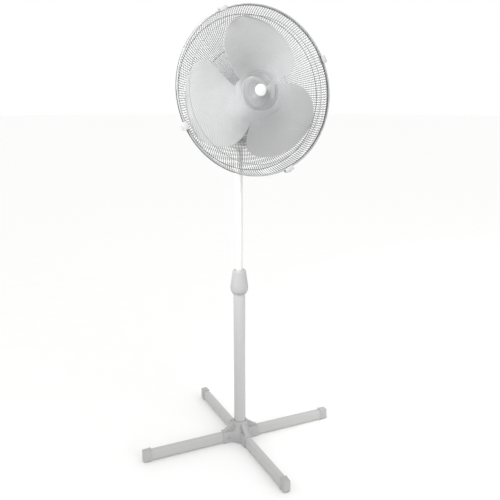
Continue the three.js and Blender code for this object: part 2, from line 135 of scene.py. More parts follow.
def asObject(name, bm):
    mesh = bpy.data.meshes.new(name)
    bm.to_mesh(mesh)
    bm.free()
    made = bpy.data.objects.new(name, mesh)
    bpy.context.collection.objects.link(made)
    return made


# Finished piece: it stands for CAD nodes and rides with their body, or rides on a named one.
def newPiece(name, bm, material, stands=(), rides=None, place=None, sharp=32):
    if place is not None:
        bmesh.ops.transform(bm, matrix=place, verts=bm.verts)
    bmesh.ops.remove_doubles(bm, verts=bm.verts, dist=0.01 * mm)
    bmesh.ops.recalc_face_normals(bm, faces=bm.faces)
    piece = asObject(name, bm)
    mesh = piece.data
    mesh.polygons.foreach_set("use_smooth", [True] * len(mesh.polygons))
    mesh.set_sharp_from_angle(angle=math.radians(sharp))
    mesh.materials.append(material)
    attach(piece, rides or bodyOf[stands[0]])
    if stands:
        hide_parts(*stands)
    return piece


# Gives an open shell a wall inside its surface.
def thicken(piece, wall):
    shell = piece.modifiers.new("wall", "SOLIDIFY")
    shell.thickness = wall * mm
    shell.offset = -1


def finishEdges(piece, width, sharperThan=35):
    bevel = piece.modifiers.new("edges", "BEVEL")
    bevel.width = width * mm
    bevel.segments = 2
    bevel.limit_method = "ANGLE"
    bevel.angle_limit = math.radians(sharperThan)
    bevel.harden_normals = True


# Rounds each corner whose point has a third value, by that many mm.
def roundCorners(bm, verts, points, segments=5):
    roundings = {}
    for vert, point in zip(verts, points):
        if len(point) > 2:
            roundings.setdefault(point[2], []).append(vert)
    for size, corners in roundings.items():
        roundOff(bm, corners, size, segments, "VERTICES")


# Profile of (radius, height) points in mm turned about Z; a third value rounds that corner.
def turned(profile, steps=64, closed=False):
    bm = bmesh.new()
    verts = [bm.verts.new((point[0] * mm, 0, point[1] * mm)) for point in profile]
    pairs = list(zip(verts, verts[1:])) + ([(verts[-1], verts[0])] if closed else [])
    for pair in pairs:
        bm.edges.new(pair)
    roundCorners(bm, verts, profile)
    spinRound(bm, steps)
    bmesh.ops.recalc_face_normals(bm, faces=bm.faces)
    return bm


# Block between two corners in mm, with its edges rounded.
def roundedBlock(low, high, radius, segments=4):
    bm = bmesh.new()
    bmesh.ops.create_cube(bm, size=1)
    size = [(b - a) * mm for a, b in zip(low, high)]
    middle = [(a + b) / 2 * mm for a, b in zip(low, high)]
    bmesh.ops.scale(bm, vec=size, verts=bm.verts)
    bmesh.ops.translate(bm, vec=middle, verts=bm.verts)
    roundOff(bm, bm.edges[:], radius, segments)
    return bm


# Corners of a rectangle, with a rounding for each where one is given.
def rectangle(left, right, low, high, *rounding):
    return [(x, y, *rounding) for x, y in ((left, low), (right, low), (right, high), (left, high))]


# Flat outline of (x, y) points in mm, extruded between two heights; a third value rounds that corner.
def plateOf(outline, low, high, edge=0):
    bm = bmesh.new()
    verts = [bm.verts.new((point[0] * mm, point[1] * mm, low * mm)) for point in outline]
    bm.faces.new(verts)
    roundCorners(bm, verts, outline)
    raised = bmesh.ops.extrude_face_region(bm, geom=bm.faces[:])
    bmesh.ops.translate(bm, vec=(0, 0, (high - low) * mm), verts=vertsIn(raised["geom"]))
    bmesh.ops.recalc_face_normals(bm, faces=bm.faces)
    if edge:
        rims = [e for e in bm.edges if abs((e.verts[0].co - e.verts[1].co).z) < 1e-6 and
                len(e.link_faces) == 2 and e.calc_face_angle() > 1]
        roundOff(bm, rims, edge, 3)
    return bm


def addTo(target, extra, place=None):
    if place is not None:
        bmesh.ops.transform(extra, matrix=place, verts=extra.verts)
    holder = bpy.data.meshes.new("holder")
    extra.to_mesh(holder)
    extra.free()
    target.from_mesh(holder)
    bpy.data.meshes.remove(holder)


# Round wire along points in mm: a small disc extruded from each point to the next.
def wireAlong(points, radius, sides=5):
    places = []
    for k, point in enumerate(points):
        along = points[min(k + 1, len(points) - 1)] - points[max(k - 1, 0)]
        places.append(Matrix.Translation(point * mm) @ along.to_track_quat("Z", "Y").to_matrix().to_4x4())
    bm = bmesh.new()
    bmesh.ops.create_circle(bm, cap_ends=True, segments=sides, radius=radius * mm, matrix=places[0])
    tip = bm.faces[:]
    for before, after in zip(places, places[1:]):
        grown = bmesh.ops.extrude_face_region(bm, geom=tip)
        tip = [part for part in grown["geom"] if not isinstance(part, bmesh.types.BMVert)]
        bmesh.ops.transform(bm, matrix=after @ before.inverted(), verts=vertsIn(grown["geom"]))
    return bm


def wireRing(radius, height, wire, steps=120, sides=6):
    bm = bmesh.new()
    bmesh.ops.create_circle(bm, segments=sides, radius=wire * mm, matrix=shiftBy(radius, 0, height) @ toFront)
    spinRound(bm, steps)
    return bm


# Copies everything in the bmesh evenly round Z.
def placeRound(bm, count):
    bmesh.ops.spin(bm, geom=allOf(bm), cent=(0, 0, 0), axis=(0, 0, 1), steps=count - 1,
                   angle=2 * math.pi * (count - 1) / count, use_duplicate=True)


def quarterTurn(k):
    return Matrix.Rotation(k * math.pi / 2, 4, "Z")


# Applies the piece's modifiers to its mesh and marks the sharp edges again.
def settle(piece, sharp=32):
    graph = bpy.context.evaluated_depsgraph_get()
    finished = bpy.data.meshes.new_from_object(piece.evaluated_get(graph))
    spare = piece.data
    piece.modifiers.clear()
    piece.data = finished
    finished.name = spare.name
    bpy.data.meshes.remove(spare)
    finished.set_sharp_from_angle(angle=math.radians(sharp))


# Cuts each closed shape out of the piece.
def cutFrom(piece, shapes):
    cutters = []
    for bm in shapes:
        bmesh.ops.recalc_face_normals(bm, faces=bm.faces)
        cutter = asObject("cutter", bm)
        cutters.append(cutter)
        cut = piece.modifiers.new("cut", "BOOLEAN")
        cut.object = cutter
        cut.solver = "MANIFOLD"
    settle(piece)
    for cutter in cutters:
        mesh = cutter.data
        bpy.data.objects.remove(cutter)
        bpy.data.meshes.remove(mesh)


# Empty material, with the place on the piece that its patterns are drawn by.
def startMaterial(name):
    material = bpy.data.materials.new(name)
    material.use_nodes = True
    material.node_tree.nodes.clear()
    coords = addNode(material.node_tree, "ShaderNodeTexCoord")
    return material, material.node_tree, coords.outputs["Object"]


# Two colours mixed by a mask, under gloss and bump that both follow one fine pattern.
def finishMaterial(tree, colours, mask, pattern, contrast, rough, strength, depthMm, settings):
    tone = addNode(tree, "ShaderNodeMix", {"data_type": "RGBA", 6: linear(colours[0]),
                   7: linear(colours[1])}, {0: mask})
    gloss = addNode(tree, "ShaderNodeMapRange", {"From Min": 0.5 - contrast, "From Max": 0.5 + contrast,
                    "To Min": rough[0], "To Max": rough[1]}, {"Value": pattern.outputs["Fac"]})
    bump = addNode(tree, "ShaderNodeBump", {"Strength": strength, "Distance": depthMm * mm},
                   {"Height": pattern.outputs["Fac"]})
    shader = addNode(tree, "ShaderNodeBsdfPrincipled", settings, {"Base Color": tone.outputs[2],
                     "Roughness": gloss.outputs["Result"], "Normal": bump.outputs["Normal"]})
    addNode(tree, "ShaderNodeOutputMaterial", links={"Surface": shader.outputs["BSDF"]})


# Moulded plastic: even satin colour with the faint grain of the mould and a slight unevenness of gloss.
def mouldedPlastic(name, colour, shade, roughness=0.4, grainMm=0.9, depthMm=0.02):
    material, tree, spot = startMaterial(name)
    cloudMm = 90  # slow change of tone across a moulding
    cloud = addNode(tree, "ShaderNodeTexNoise", {"Scale": 1 / (cloudMm * mm), "Detail": 2}, {"Vector": spot})
    grain = addNode(tree, "ShaderNodeTexNoise",
                    {"Scale": 1 / (grainMm * mm), "Detail": 3, "Roughness": 0.6}, {"Vector": spot})
    rough = (roughness - 0.06, roughness + 0.06)
    finishMaterial(tree, (colour, shade), cloud.outputs["Fac"], grain, 0.2, rough, 0.5, depthMm,
                   {"IOR": 1.53})
    return material


# Powder coat on steel: a soft orange-peel ripple under a thin gloss, with the odd paler fleck.
def powderCoat(name, colour, fleck, roughness=0.33, peelMm=1.6):
    material, tree, spot = startMaterial(name)
    peel = addNode(tree, "ShaderNodeTexNoise", {"Scale": 1 / (peelMm * mm), "Detail": 1}, {"Vector": spot})
    fleckMm, peelDepthMm = 2.5, 0.03  # distance between flecks, and depth of the ripple
    dots = addNode(tree, "ShaderNodeTexVoronoi", {"Scale": 1 / (fleckMm * mm)}, {"Vector": spot})
    fleckMask = addNode(tree, "ShaderNodeMapRange", {"From Min": 0.0, "From Max": 0.25, "To Min": 0.6,
                        "To Max": 0.0}, {"Value": dots.outputs["Distance"]})
    coat = {"IOR": 1.5, "Coat Weight": 0.25, "Coat Roughness": 0.2}
    rough = (roughness - 0.05, roughness + 0.08)
    finishMaterial(tree, (colour, fleck), fleckMask.outputs["Result"], peel, 0.2, rough, 0.6, peelDepthMm,
                   coat)
    return material


# Bare or plated metal: fine grit that breaks up the gloss, and patches a little duller than the rest.
def workedMetal(name, colour, shade, roughness=0.35, gritMm=0.6, depthMm=0.02):
    material, tree, spot = startMaterial(name)
    grit = addNode(tree, "ShaderNodeTexNoise", {"Scale": 1 / (gritMm * mm), "Detail": 3}, {"Vector": spot})
    patchMm = 14  # size of the duller patches
    patch = addNode(tree, "ShaderNodeTexNoise", {"Scale": 1 / (patchMm * mm), "Detail": 2}, {"Vector": spot})
    rough = (roughness - 0.1, roughness + 0.12)
    finishMaterial(tree, (colour, shade), patch.outputs["Fac"], grit, 0.25, rough, 0.5, depthMm,
                   {"Metallic": 1.0})
    return material


# Silver lacquer on drawn wire: only slightly metallic, a little cloudy where the lacquer is thicker.
def lacqueredWire(name, colour, shade):
    material, tree, spot = startMaterial(name)
    cloudMm = 25  # runs of thicker lacquer
    cloud = addNode(tree, "ShaderNodeTexNoise", {"Scale": 1 / (cloudMm * mm), "Detail": 2}, {"Vector": spot})
    tone = addNode(tree, "ShaderNodeMix", {"data_type": "RGBA", 6: linear(colour), 7: linear(shade)},
                   {0: cloud.outputs["Fac"]})
    gloss = addNode(tree, "ShaderNodeMapRange", {"From Min": 0.3, "From Max": 0.7, "To Min": 0.6,
                    "To Max": 0.75}, {"Value": cloud.outputs["Fac"]})
    shader = addNode(tree, "ShaderNodeBsdfPrincipled", {"Metallic": 0.12}, {
        "Base Color": tone.outputs[2], "Roughness": gloss.outputs["Result"]})
    addNode(tree, "ShaderNodeOutputMaterial", links={"Surface": shader.outputs["BSDF"]})
    return material


# Enamelled copper laid in layers: rounded ridges, drawn about two wires wide so that they show. The same
# ridges paint the copper darker in the grooves between turns: painted shade.
def woundCopper(name, ridgeMm=2.26):
    material, tree, spot = startMaterial(name)
    waveRepeat, ridgeDepthMm = math.pi / 10, 0.3  # a wave texture of scale 1 repeats every tenth of pi
    ridgesAndGrooveShade = addNode(tree, "ShaderNodeTexWave", {"bands_direction": "Y", "Distortion": 0.6,
                     "Scale": waveRepeat / (ridgeMm * mm)}, {"Vector": spot})
    # Dark copper in the grooves and light copper on the crests, following the bump's own ridges: painted
    # shade in the grooves.
    tone = addNode(tree, "ShaderNodeMix", {"data_type": "RGBA", 6: linear("#7a3a1c"), 7: linear("#c87a45")},
                   {0: ridgesAndGrooveShade.outputs["Fac"]})
    bump = addNode(tree, "ShaderNodeBump", {"Strength": 0.8, "Distance": ridgeDepthMm * mm},
                   {"Height": ridgesAndGrooveShade.outputs["Fac"]})
    shader = addNode(tree, "ShaderNodeBsdfPrincipled", {"Metallic": 1.0, "Roughness": 0.38}, {
        "Base Color": tone.outputs[2], "Normal": bump.outputs["Normal"]})
    addNode(tree, "ShaderNodeOutputMaterial", links={"Surface": shader.outputs["BSDF"]})
    return material


whiteAbs = mouldedPlastic("whiteMouldedAbs", "#e4e4e1", "#dadad7", 0.38)
bladeAbs = mouldedPlastic("paleGreyBladeAbs", "#bfbfbf", "#b6b6b6", 0.5, grainMm=2.2)
greyPolypropylene = mouldedPlastic("lightGreyPolypropylene", "#b2b2b2", "#a8a8a8", 0.46, 1.1, 0.04)
nylonNatural = mouldedPlastic("naturalNylon", "#d9d6cc", "#cdc9bd", 0.5)
darkAbs = mouldedPlastic("darkMouldedAbs", "#2b2c2e", "#232426", 0.5)
footRubber = mouldedPlastic("blackFootRubber", "#3a3a3b", "#303031", 0.75, grainMm=1.5, depthMm=0.08)
whiteCoat = powderCoat("whitePowderCoat", "#d6d6d4", "#dededc")
armCoat = powderCoat("paleGreyPowderCoat", "#b6b6b5", "#c1c1c0")
greyCoat = powderCoat("lightGreyPowderCoat", "#b6b6b6", "#c2c2c2")
zincSteel = workedMetal("zincPlatedSteel", "#b9bcc0", "#a2a5a9", 0.34, 0.5)
castAlloy = workedMetal("dieCastAlloy", "#9b9da0", "#858789", 0.55, 0.8, depthMm=0.06)
bronzeSinter = workedMetal("sinteredBronze", "#9a7442", "#7f5f36", 0.5, 0.3)
silverWire = lacqueredWire("silverLacqueredWire", "#a2a3a4", "#959697")
# Darker copy of the silver guard wire for the rear guard: its grey is painted shade, standing in for the
# shade the rear guard lies in.
shadedRearWire = lacqueredWire("rearWirePaintedShade", "#545557", "#48494b")
copperCoils = woundCopper("enamelledCopperCoils")

# The CAD nodes that stay as they are, by record slot.
finishOfSlot = {
    "white_moulding": whiteAbs, "blade_plastic": bladeAbs, "grey_moulding": greyPolypropylene,
    "white_enamel": whiteCoat, "grey_enamel": greyCoat, "guard_wire": silverWire, "zinc_steel": zincSteel,
    "cast_metal": castAlloy, "copper": copperCoils, "bronze": bronzeSinter, "nylon": nylonNatural,
    "dark_moulding": darkAbs,
}
for nodeName, nodeObject in frame["nodes"].items():
    for materialSlot in nodeObject.material_slots:
        materialSlot.material = finishOfSlot[slotOf[nodeName]]
print("materials ready")


armNames = ["right", "back", "left", "front"]
hub = {"armRadius": 60, "socketHalf": 12.6, "cornerCut": 33.7, "low": 0.5, "top": 37, "bossRadius": 24,
       "bossTop": 66, "bore": 18.6, "flare": 7, "webHalf": 7, "webEdge": 1.4, "corner": 3, "edge": 1.6}


# Four-way socket block with a boss round the pole and a sloping web on each arm.
def makeHub():
    reach, half, cornerCut = hub["armRadius"], hub["socketHalf"], hub["cornerCut"]
    boss, bossTop, bore, top = hub["bossRadius"], hub["bossTop"], hub["bore"], hub["top"]
    outline = []
    for k in range(4):
        for corner in rectangle(cornerCut, reach, -half, half):
            outline.append((*(Matrix.Rotation(k * math.pi / 2, 2) @ Vector(corner)), hub["corner"]))
    bm = plateOf(outline, hub["low"], top, hub["edge"])
    flared = boss + hub["flare"]
    addTo(bm, turned([(bore, top - 6), (flared, top - 6), (flared, top - 1), (boss, top + 7, 5),
                      (boss - 0.6, bossTop, 2.2), (bore, bossTop, 0.8)], steps=72, closed=True))
    slope = [(boss - 4, top - 4), (reach - 1.5, top - 4), (reach - 2.5, top + 0.6, 1.5),
             (boss - 1, bossTop - 5, 1.5)]
    for k in range(4):
        web = plateOf(slope, -hub["webHalf"], hub["webHalf"], hub["webEdge"])
        addTo(bm, web, quarterTurn(k) @ toFront)
    newPiece("hubMoulding", bm, greyPolypropylene, ["base_hub"])


arm = {"innerEnd": 24, "wall": 1.5, "corner": 2.2}


# Rectangular steel tube with rolled corners, open at both ends.
def makeArm(k, name):
    low, high = boxOf("base_arm_right")
    half, bottom, top, end = high.y, low.z, high.z, high.x
    outline = rectangle(-half, half, bottom, top)
    bm = bmesh.new()
    face = bm.faces.new([bm.verts.new((arm["innerEnd"] * mm, y * mm, z * mm)) for y, z in outline])
    roundOff(bm, face.verts[:], arm["corner"], 4, "VERTICES")
    bmesh.ops.inset_region(bm, faces=bm.faces[:], thickness=arm["wall"] * mm, use_even_offset=True,
                           use_boundary=True)
    core = max(bm.faces, key=lambda f: f.calc_area())
    bmesh.ops.delete(bm, geom=[core], context="FACES_ONLY")
    pulled = bmesh.ops.extrude_face_region(bm, geom=bm.faces[:])
    bmesh.ops.translate(bm, vec=((end - arm["innerEnd"]) * mm, 0, 0), verts=vertsIn(pulled["geom"]))
    newPiece(f"armTube_{name}", bm, armCoat, [f"base_arm_{name}"], place=quarterTurn(k))


cap = {"edge": 2.6, "mouth": 6, "lip": 1.2, "padHeight": 1.6, "padInset": 4, "padEdge": 1.0}


# Moulded shoe with a raised lip at its mouth and a thin rubber pad let into its sole.
def makeEndCap(k, name):
    low, high = boxOf("arm_end_cap_right")
    padTop = cap["padHeight"]
    bm = roundedBlock((low.x + 3, low.y + 0.5, padTop), (high.x, high.y - 0.5, high.z - 0.4), cap["edge"])
    mouthEnd = (low.x + cap["mouth"], high.y, high.z)
    addTo(bm, roundedBlock((low.x, low.y, padTop - 0.6), mouthEnd, cap["lip"], 3))
    newPiece(f"armShoe_{name}", bm, greyPolypropylene, [f"arm_end_cap_{name}"], place=quarterTurn(k))
    inset = cap["padInset"]
    pad = roundedBlock((low.x + inset, low.y + inset, 0), (high.x - inset, high.y - inset, padTop + 1.5),
                       cap["padEdge"], 3)
    newPiece(f"armPad_{name}", pad, footRubber, rides="base", place=quarterTurn(k))


screw = {"headRadius": 4, "shank": 1.9, "length": 8, "along": 46, "height": 18, "proud": 0.3}


# Pan-head screw with a plain low dome; its shank runs down from zero.
def panHead(length):
    headRadius, shank = screw["headRadius"], screw["shank"]
    return turned([(0, -length), (shank, -length), (shank, 0), (headRadius, 0), (headRadius - 0.3, 1.5, 0.5),
                   (headRadius * 0.5, 2.5, 0.8), (0, 2.6)], steps=24)


def makeArmScrew(k, name):
    place = shiftBy(screw["along"], hub["socketHalf"] + screw["proud"], screw["height"]) @ toBack
    newPiece(f"socketScrew_{name}", panHead(screw["length"]), zincSteel, [f"arm_screw_{name}"],
             place=quarterTurn(k) @ place)


makeHub()
for armIndex, armName in enumerate(armNames):
    makeArm(armIndex, armName)
    makeEndCap(armIndex, armName)
    makeArmScrew(armIndex, armName)
print("base ready")


pole = {"wall": 1.2, "endRounding": 0.4}


# Round tube with softened ends, on the box of its node.
def makeTube(name, node, material):
    low, high = boxOf(node)
    radius, rounding = high.x, pole["endRounding"]
    inner = radius - pole["wall"]
    bm = turned([(inner, low.z), (radius, low.z, rounding), (radius, high.z, rounding),
                 (inner, high.z, rounding)], steps=96, closed=True)
    newPiece(name, bm, material, [node])


collar = {"bore": 12, "socketBore": 21.4, "colletBore": 15.6, "grooves": 24, "grooveDepth": 0.5,
          "grooveLow": 4, "grooveHigh": 30, "grooveInside": 22.5}


# Tapered hand nut: widest near its foot, with shallow grip flutes below its waist.
def makeCollar():
    low, high = boxOf("collar_nut")
    foot, top, widest = low.z, high.z, high.x
    bore, wide, mid = collar["bore"], collar["socketBore"], collar["colletBore"]
    bm = turned([(wide, foot), (widest - 2.6, foot, 1.4), (widest, foot + 9, 5), (widest - 0.4, foot + 21, 5),
                 (21.6, top - 16, 10), (20.3, top - 4, 2), (18.4, top, 1.6), (bore, top, 0.5),
                 (bore, top - 5), (mid, top - 7), (mid, foot + 45), (wide, foot + 43)], steps=96, closed=True)
    start, end = collar["grooveLow"], collar["grooveHigh"]

    def grooves(radius, height, angle):
        height -= foot
        if not start < height < end or radius <= collar["grooveInside"]:
            return 0
        wave = max(0, math.cos(collar["grooves"] * angle)) ** 4
        return collar["grooveDepth"] * wave * math.sin(math.pi * (height - start) / (end - start))

    pressIn(bm, grooves)
    newPiece("collarHandNut", bm, greyPolypropylene, ["collar_nut"])


socket = {"bore": 18.3, "flange": 22, "body": 20.6, "step": 500.3, "neckBore": 12, "topBore": 16}


# Sleeve on the lower pole, with a seat for the collet in its mouth.
def makeCollarSocket():
    low, high = boxOf("collar_base")
    bore, flange, body = socket["bore"], socket["flange"], socket["body"]
    step, neckBore, topBore = socket["step"], socket["neckBore"], socket["topBore"]
    bm = turned([(bore, low.z, 0.3), (flange, low.z, 0.8), (flange, low.z + 3, 0.5), (body, low.z + 3),
                 (body, high.z, 0.5), (topBore, high.z), (topBore, step + 11.7), (neckBore, step + 7.7),
                 (neckBore, step), (bore, step)], steps=72, closed=True)
    newPiece("collarSocket", bm, greyPolypropylene, ["collar_base"])


makeTube("lowerPoleTube", "lower_pole", greyCoat)
makeTube("innerPoleTube", "inner_pole", whiteCoat)
makeCollar()
makeCollarSocket()
print("pole ready")


neck = {"foot": 912, "top": 953, "radius": 38, "panel": 30, "wall": 2.2, "gap": 0.3,
        "keyX": 5.2, "keyHeight": 938, "windowWidth": 8.8, "windowHeight": 12}
keyFrame = {"halfWidth": 21.2, "halfHeight": 7.4, "proud": 1, "corner": 1.4, "depth": 1.6, "edge": 0.35}
buttonNames = ["off", "low", "medium", "high"]


# Cuts along a plane and drops what lies on its outer side.
def trim(bm, point, outward):
    bmesh.ops.bisect_plane(bm, geom=allOf(bm), dist=0.001 * mm, plane_co=Vector(point) * mm,
                           plane_no=outward, clear_outer=True)


# Opens the four key windows, one upright rectangle each, in a flat panel that faces -Y.
def openWindows(bm):
    width, height, z = neck["windowWidth"], neck["windowHeight"], neck["keyHeight"]
    for k in range(len(buttonNames)):
        x = (2 * k - 3) * neck["keyX"]
        sides = [((x - width / 2, 0, 0), (1, 0, 0)), ((x + width / 2, 0, 0), (1, 0, 0)),
                 ((0, 0, z - height / 2), (0, 0, 1)), ((0, 0, z + height / 2), (0, 0, 1))]
        for point, across in sides:
            panel = [f for f in bm.faces if f.normal.y < -0.999]
            parts = {part for f in panel for part in (f, *f.edges, *f.verts)}
            bmesh.ops.bisect_plane(bm, geom=list(parts), dist=0.001 * mm, plane_co=Vector(point) * mm,
                                   plane_no=across)
        opening = []
        for f in bm.faces:
            middle = f.calc_center_median() / mm
            if f.normal.y < -0.999 and abs(middle.x - x) < width / 2 and abs(middle.z - z) < height / 2:
                opening.append(f)
        bmesh.ops.delete(bm, geom=opening, context="FACES")


# Half of the spun housing, with the button panel cut flat across its front.
def makeNeckHalf(name, node, front):
    foot, top, radius = neck["foot"], neck["top"], neck["radius"]
    bm = turned([(15.4, foot), (17.5, foot, 0.8), (19, foot + 2, 1.5), (27, foot + 8, 3.5),
                 (33, foot + 13, 3.5), (37, foot + 19, 3), (radius, foot + 26, 3), (radius, top - 1, 0.9),
                 (radius - 1.2, top)], steps=96)
    trim(bm, (0, -neck["panel"], 0), (0, -1, 0))
    rim = [v for v in bm.verts if abs(v.co.y + neck["panel"] * mm) < 0.01 * mm]
    ends = sorted(rim, key=lambda v: v.co.z)[-2:]
    bm.edges.new(ends)
    loop = [e for e in bm.edges if e.verts[0] in rim and e.verts[1] in rim]
    bmesh.ops.contextual_create(bm, geom=loop)
    bmesh.ops.recalc_face_normals(bm, faces=bm.faces)
    if front:
        openWindows(bm)
    side = -1 if front else 1
    trim(bm, (0, side * neck["gap"] / 2, 0), (0, -side, 0))
    piece = newPiece(name, bm, whiteAbs, [node], sharp=28)
    thicken(piece, neck["wall"])
    settle(piece)


# Thin frame let into the panel round the four keys.
def makeKeyFrame():
    wide, tall, middle = keyFrame["halfWidth"], keyFrame["halfHeight"], neck["keyHeight"]
    y = -(neck["panel"] + keyFrame["proud"])
    bm = bmesh.new()
    outline = rectangle(-wide, wide, middle - tall, middle + tall)
    bm.faces.new([bm.verts.new((x * mm, y * mm, z * mm)) for x, z in outline])
    roundOff(bm, bm.verts[:], keyFrame["corner"], 4, "VERTICES")
    bm.normal_update()
    openWindows(bm)
    piece = newPiece("keyFrame", bm, greyPolypropylene, rides="column")
    thicken(piece, keyFrame["depth"])
    finishEdges(piece, keyFrame["edge"])
    settle(piece)


key = {"edge": 1.1, "rim": 0.9, "dish": 0.5}


# Push key with rounded edges and a shallow dished face.
def makeKey(name):
    low, high = boxOf(f"button_{name}")
    bm = roundedBlock(low, high, key["edge"], 3)
    bm.faces.ensure_lookup_table()
    face = min(bm.faces, key=lambda f: f.calc_center_median().y)
    bmesh.ops.inset_region(bm, faces=[face], thickness=key["rim"] * mm, depth=-key["dish"] * mm)
    newPiece(f"pushKey_{name}", bm, greyPolypropylene, [f"button_{name}"])


lid = {"radius": 35.4, "low": 947.4, "high": 949.6, "yokeHalf": 12.4, "front": 27.4}


# Two shelves that close the top of the housing in front of and behind the yoke.
def makeNeckLid():
    bm = bmesh.new()
    start = math.asin(lid["yokeHalf"] / lid["radius"])
    for side, reach in ((-1, lid["front"]), (1, lid["radius"])):
        angles = [start + (math.pi - 2 * start) * k / 24 for k in range(25)]
        rim = [(lid["radius"] * math.cos(a), side * min(reach, lid["radius"] * math.sin(a))) for a in angles]
        addTo(bm, plateOf(rim, lid["low"], lid["high"], edge=0.4))
    newPiece("neckLid", bm, whiteAbs, rides="column")


gland = {"radius": 6.4, "rib": 1.1, "ribs": 4, "ribPitch": 3, "flange": 8.5, "bore": 4, "height": 940}


# Ribbed rubber sleeve where a mains lead would leave the housing.
def makeGland():
    radius, bore = gland["radius"], gland["bore"]
    profile = [(bore, 34), (5.3, 34), (5.3, 38.3), (gland["flange"], 38.3, 0.5), (gland["flange"], 40, 0.8),
               (radius, 40.6)]
    for k in range(gland["ribs"]):
        start = 41.6 + k * gland["ribPitch"]
        taper = radius - 0.2 * k
        profile += [(taper, start), (taper - gland["rib"], start + 0.4), (taper - gland["rib"], start + 1.4),
                    (taper, start + 1.8)]
    profile += [(5.6, 53.4, 0.3), (5.4, 54, 0.3), (bore, 54)]
    bm = turned(profile, steps=40, closed=True)
    newPiece("leadGland", bm, darkAbs, ["cord_gland"], place=shiftBy(0, 0, gland["height"]) @ toBack)


grub = {"radius": 2.4, "keyRadius": 1.2, "keyDepth": 2}


# Grub screw with a round socket in its outer end.
def makeSetScrew():
    low, high = boxOf("pole_set_screw")
    radius, inner, floor = grub["radius"], grub["keyRadius"], high.y - grub["keyDepth"]
    bm = turned([(0, low.y), (radius, low.y, 0.4), (radius, high.y - 0.6), (radius - 0.5, high.y),
                 (inner, high.y), (inner, floor), (0, floor)], steps=24)
    place = shiftBy(0, 0, (low.z + high.z) / 2) @ toBack
    newPiece("neckSetScrew", bm, zincSteel, ["pole_set_screw"], place=place)


makeNeckHalf("neckShellFront", "neck_front", True)
makeNeckHalf("neckShellRear", "neck_rear", False)
makeKeyFrame()
for keyName in buttonNames:
    makeKey(keyName)
makeNeckLid()
makeGland()
makeSetScrew()
print("neck ready")


yoke = {"half": 33, "ear": 5.6, "depth": 12, "foot": 946, "plate": 6, "socket": 14.6, "bore": 11.5}


# Cast yoke: a plate with two round-topped ears, on the socket for the inner pole.
def makeYoke():
    low, high = boxOf("tilt_bracket")
    half, depth, foot = yoke["half"], yoke["depth"], yoke["foot"]
    bm = roundedBlock((-half, -depth, foot), (half, depth, foot + yoke["plate"]), 1.2, 3)
    for inner in (-half, half - yoke["ear"]):
        rounding = depth - 0.1
        ear = plateOf([(foot, -depth), (high.z, -depth, rounding), (high.z, depth, rounding), (foot, depth)],
                      inner, inner + yoke["ear"], edge=0.9)
        addTo(bm, ear, Matrix(((0, 0, 1, 0), (0, 1, 0, 0), (1, 0, 0, 0), (0, 0, 0, 1))))  # swaps X and Z
    bore, socketRadius = yoke["bore"], yoke["socket"]
    addTo(bm, turned([(bore, low.z), (socketRadius, low.z, 0.8), (socketRadius, foot + 1), (bore, foot + 1)],
                     closed=True))
    newPiece("tiltYoke", bm, castAlloy, ["tilt_bracket"])


tiltBlock = {"half": 26.8, "barrel": 14.5, "bearing": 16, "bearingBore": 9.3, "bearingTop": 22.5,
             "post": 6, "postPin": 2.4}
crank = {"centre": (15, 49.5), "throw": 9.7, "anchor": (15, 0), "disc": 13.5, "pin": 2, "spindle": 3,
         "teeth": 24, "toothDepth": 1, "toothInside": 7}


# Block on the tilt bolt with the upright bearing for the swivel and the post of the link.
def makeTiltBlock():
    half, barrel, bearing = tiltBlock["half"], tiltBlock["barrel"], tiltBlock["bearing"]
    bore, top = tiltBlock["bearingBore"], tiltBlock["bearingTop"]
    bm = turned([(0, -half), (barrel, -half, 1.2), (barrel, half, 1.2), (0, half)], steps=72)
    bmesh.ops.transform(bm, matrix=toRight, verts=bm.verts)
    addTo(bm, roundedBlock((-15, -12, 0), (15, 12, 16), 2.5, 3))
    ring = [(bore, 7), (bearing, 7, 2), (bearing, top, 1), (bore, top, 0.4)]
    addTo(bm, turned(ring, steps=72, closed=True))
    post, pin = tiltBlock["post"], tiltBlock["postPin"]
    upright = turned([(0, 12), (post, 12), (post, 23.1, 0.4), (pin, 23.1), (pin, 27.2, 0.5), (0, 27.2)], 32)
    addTo(bm, upright, shiftBy(*crank["anchor"], 0))
    newPiece("tiltBlockCasting", bm, castAlloy, ["tilt_block"], place=headPlace)


knob = {"lobes": 6, "lobeDepth": 1.3, "lobeInside": 9.5, "lowX": 33.6, "highX": 52, "bore": 4.3}


# Six-lobed hand knob on the tilt bolt.
def makeTiltKnob():
    low, high, bore = knob["lowX"], knob["highX"], knob["bore"]
    bm = turned([(bore, low), (9, low, 0.8), (12.4, low + 3.6, 1.2), (13, low + 6, 1.5), (13, high - 4, 1.5),
                 (11.4, high - 0.8, 1.2), (8, high), (6, high - 0.9, 0.5), (0, high - 0.9)], steps=96)
    addTo(bm, turned([(bore, low), (bore, high - 5), (0, high - 5)], steps=96))
    flute(bm, knob["lobes"], knob["lobeDepth"], knob["lobeInside"], power=3)
    newPiece("tiltHandKnob", bm, greyPolypropylene, ["tilt_knob"], place=boltPlace)


bolt = {"radius": 4, "low": -39.5, "high": 46, "headRadius": 7, "headHeight": 5.9, "edge": 0.4}
boltPlace = Matrix.Translation(tiltPoint) @ toRight


# Hexagon-head bolt that the head tilts on, from left to right through the yoke.
def makeTiltBolt():
    radius, low, high = bolt["radius"], bolt["low"], bolt["high"]
    bm = turned([(0, low), (radius, low), (radius, high, 0.8), (0, high)], steps=32)
    hexHead = bmesh.new()
    bmesh.ops.create_circle(hexHead, cap_ends=True, segments=6, radius=bolt["headRadius"] * mm,
                            matrix=shiftBy(0, 0, low))
    grown = bmesh.ops.extrude_face_region(hexHead, geom=hexHead.faces[:])
    bmesh.ops.translate(hexHead, vec=(0, 0, bolt["headHeight"] * mm), verts=vertsIn(grown["geom"]))
    roundOff(hexHead, hexHead.edges[:], bolt["edge"], 2)
    addTo(bm, hexHead)
    newPiece("tiltHexBolt", bm, zincSteel, ["tilt_bolt"], place=boltPlace)


